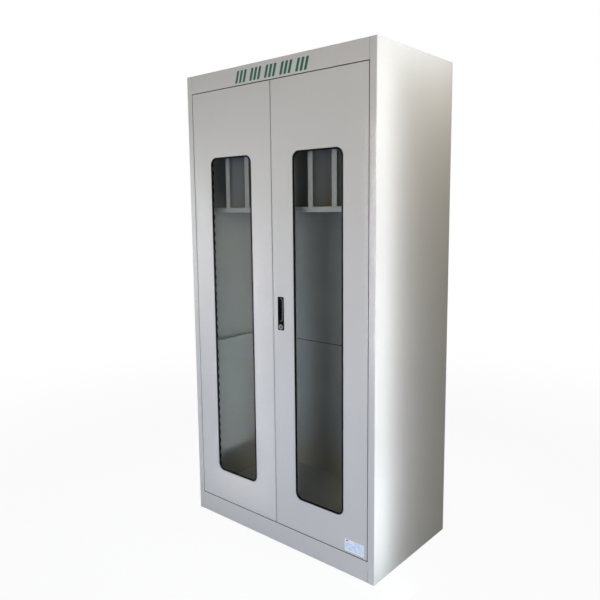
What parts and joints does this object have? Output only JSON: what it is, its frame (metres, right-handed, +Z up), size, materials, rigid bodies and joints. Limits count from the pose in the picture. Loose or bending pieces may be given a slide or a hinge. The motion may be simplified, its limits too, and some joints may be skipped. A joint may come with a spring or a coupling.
{
  "type": "tool cabinet with doors",
  "caption": "Tall sheet-steel tool cabinet with hinged doors, round-cornered glass windows, a flush handle with a locking-rod latch, slotted posts and a divided top shelf.",
  "frame": {"origin": "on the floor, at the middle of the footprint", "axes": "+Z up, +Y towards the back of the cabinet, the doors face -Y, +X towards the door with the handle"},
  "size_m": [1, 0.553, 2],
  "materials": {
    "powder_coat": "satin powder coat",
    "zinc_steel": "bright zinc plate",
    "rubber_gasket": "matt",
    "window_glass": "clear",
    "black_plastic": "fine grain",
    "lock_chrome": "polished",
    "nylon": "natural"
  },
  "bodies": {
    "carcass": {"side_panel_left": "powder_coat", "side_panel_right": "powder_coat", "header_rail": "powder_coat", "plinth_rail": "powder_coat", "top_panel": "powder_coat", "floor_panel": "powder_coat", "rear_base_rail": "powder_coat", "back_panel_lower": "powder_coat", "back_panel_upper": "powder_coat", "foot_plates": "powder_coat", "post_front_left": "powder_coat", "post_front_right": "powder_coat", "post_rear_left": "powder_coat", "post_rear_right": "powder_coat", "top_shelf": "powder_coat", "shelf_clips": "zinc_steel", "shelf_bearer_left": "powder_coat", "shelf_bearer_right": "powder_coat", "door_bumpers": "rubber_gasket", "divider_1": "powder_coat", "divider_2": "powder_coat", "divider_3": "powder_coat", "divider_4": "powder_coat", "divider_5": "powder_coat", "divider_6": "powder_coat", "divider_7": "powder_coat", "pivot_pin_left_top": "zinc_steel", "pivot_pin_left_bottom": "zinc_steel", "pivot_pin_right_top": "zinc_steel", "pivot_pin_right_bottom": "zinc_steel"},
    "door_left": {"door_pan_left": "powder_coat", "window_gasket_left": "rubber_gasket", "window_glass_left": "window_glass", "door_stiffener_left": "powder_coat", "closing_strip": "powder_coat", "hinge_bush_left_top": "nylon", "hinge_bush_left_bottom": "nylon"},
    "door_right": {"door_pan_right": "powder_coat", "window_gasket_right": "rubber_gasket", "window_glass_right": "window_glass", "door_stiffener_right": "powder_coat", "handle_housing": "black_plastic", "handle_clamp": "zinc_steel", "handle_screws": "zinc_steel", "lock_barrel": "lock_chrome", "lock_nut": "zinc_steel", "rod_guides": "nylon", "hinge_bush_right_top": "nylon", "hinge_bush_right_bottom": "nylon"},
    "lock_cylinder": {"lock_plug": "lock_chrome", "crank_disc": "zinc_steel", "crank_pins": "zinc_steel"},
    "rod_upper": {"rod_upper": "zinc_steel"},
    "rod_lower": {"rod_lower": "zinc_steel"}
  },
  "joints": [
    {"name": "left_door_hinge", "type": "hinge", "parent": "carcass", "child": "door_left", "pos_m": [-0.4535, -0.2665, 0], "axis": [0, 0, -1], "range_deg": [0, 120]},
    {"name": "right_door_hinge", "type": "hinge", "parent": "carcass", "child": "door_right", "pos_m": [0.4535, -0.2665, 0], "axis": [0, 0, 1], "range_deg": [0, 120]},
    {"name": "key_turn", "type": "hinge", "parent": "door_right", "child": "lock_cylinder", "pos_m": [0.043, -0.2735, 0.945], "axis": [0, -1, 0], "range_deg": [0, 90]},
    {"name": "rod_up_slide", "type": "slide", "parent": "door_right", "child": "rod_upper", "axis": [0, 0, 1], "range_m": [0, 0.01697]},
    {"name": "rod_down_slide", "type": "slide", "parent": "door_right", "child": "rod_lower", "axis": [0, 0, -1], "range_m": [0, 0.01697]}
  ],
  "couplings": [
    {"joint": "key_turn", "follows": "rod_up_slide", "rad_per_m": 92.56},
    {"joint": "rod_down_slide", "follows": "rod_up_slide", "ratio": 1}
  ]
}
